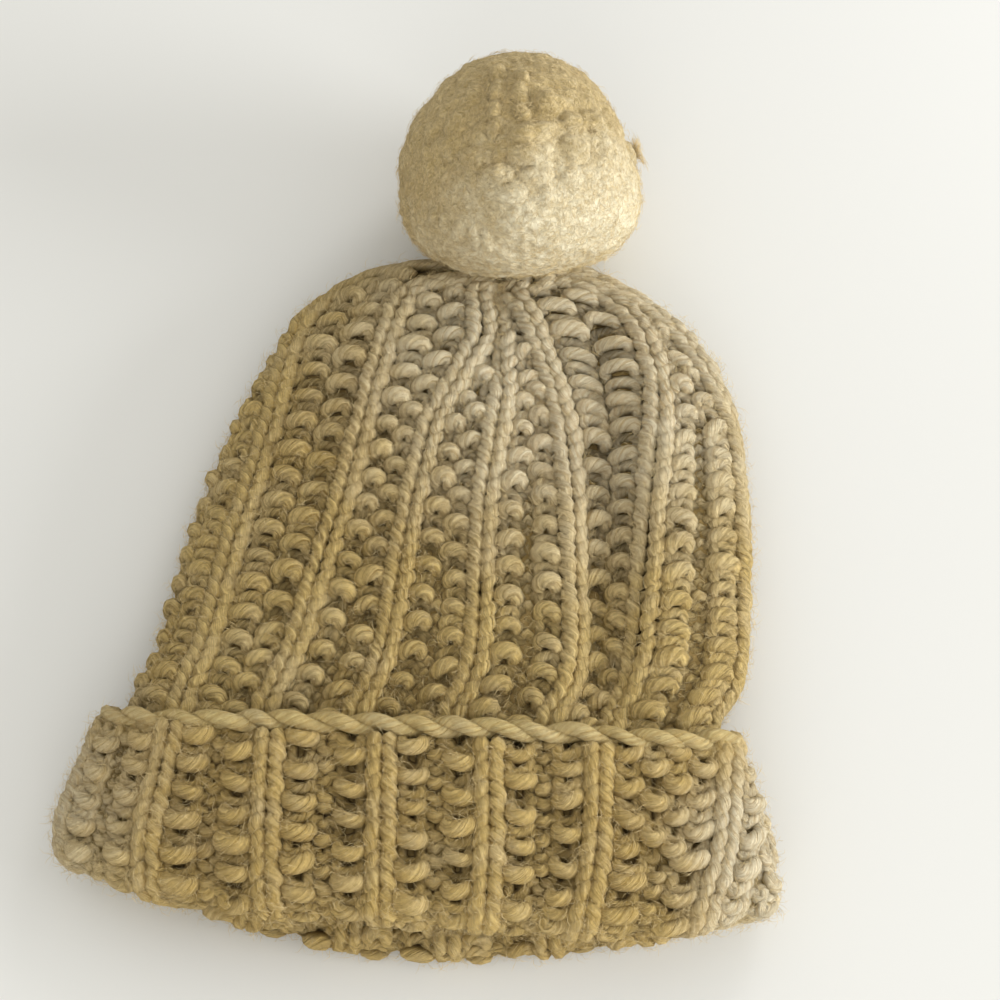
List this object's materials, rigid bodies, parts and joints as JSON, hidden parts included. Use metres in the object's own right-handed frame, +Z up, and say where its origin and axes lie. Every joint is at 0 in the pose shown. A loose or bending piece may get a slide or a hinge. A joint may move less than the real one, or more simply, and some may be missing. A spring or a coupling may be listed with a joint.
{
  "type": "knitted bobble hat",
  "caption": "Chunky ribbed knitted hat lying flat, with a turned-up cuff, a cast-on edge and a stuffed felted ball at the top.",
  "frame": {"origin": "on the ground, under the middle of the hat's box as it lies flat", "axes": "+Y from the mouth towards the bobble, +Z up from the ground, +X across the brim"},
  "size_m": [0.2456, 0.328, 0.0821],
  "materials": {
    "crown_wool": "thick plied cream wool yarn, matt and hairy",
    "cuff_wool": "the same yarn, seen from the other side of the knitting",
    "edge_wool": "the same yarn as a chain of loops",
    "bobble_wool": "the same yarn, felted",
    "tie_wool": "plain yarn"
  },
  "bodies": {
    "root": {"crown": "crown_wool", "cuff": "cuff_wool", "cast_on_edge": "edge_wool", "bobble": "bobble_wool", "bobble_tie": "tie_wool"}
  },
  "joints": []
}
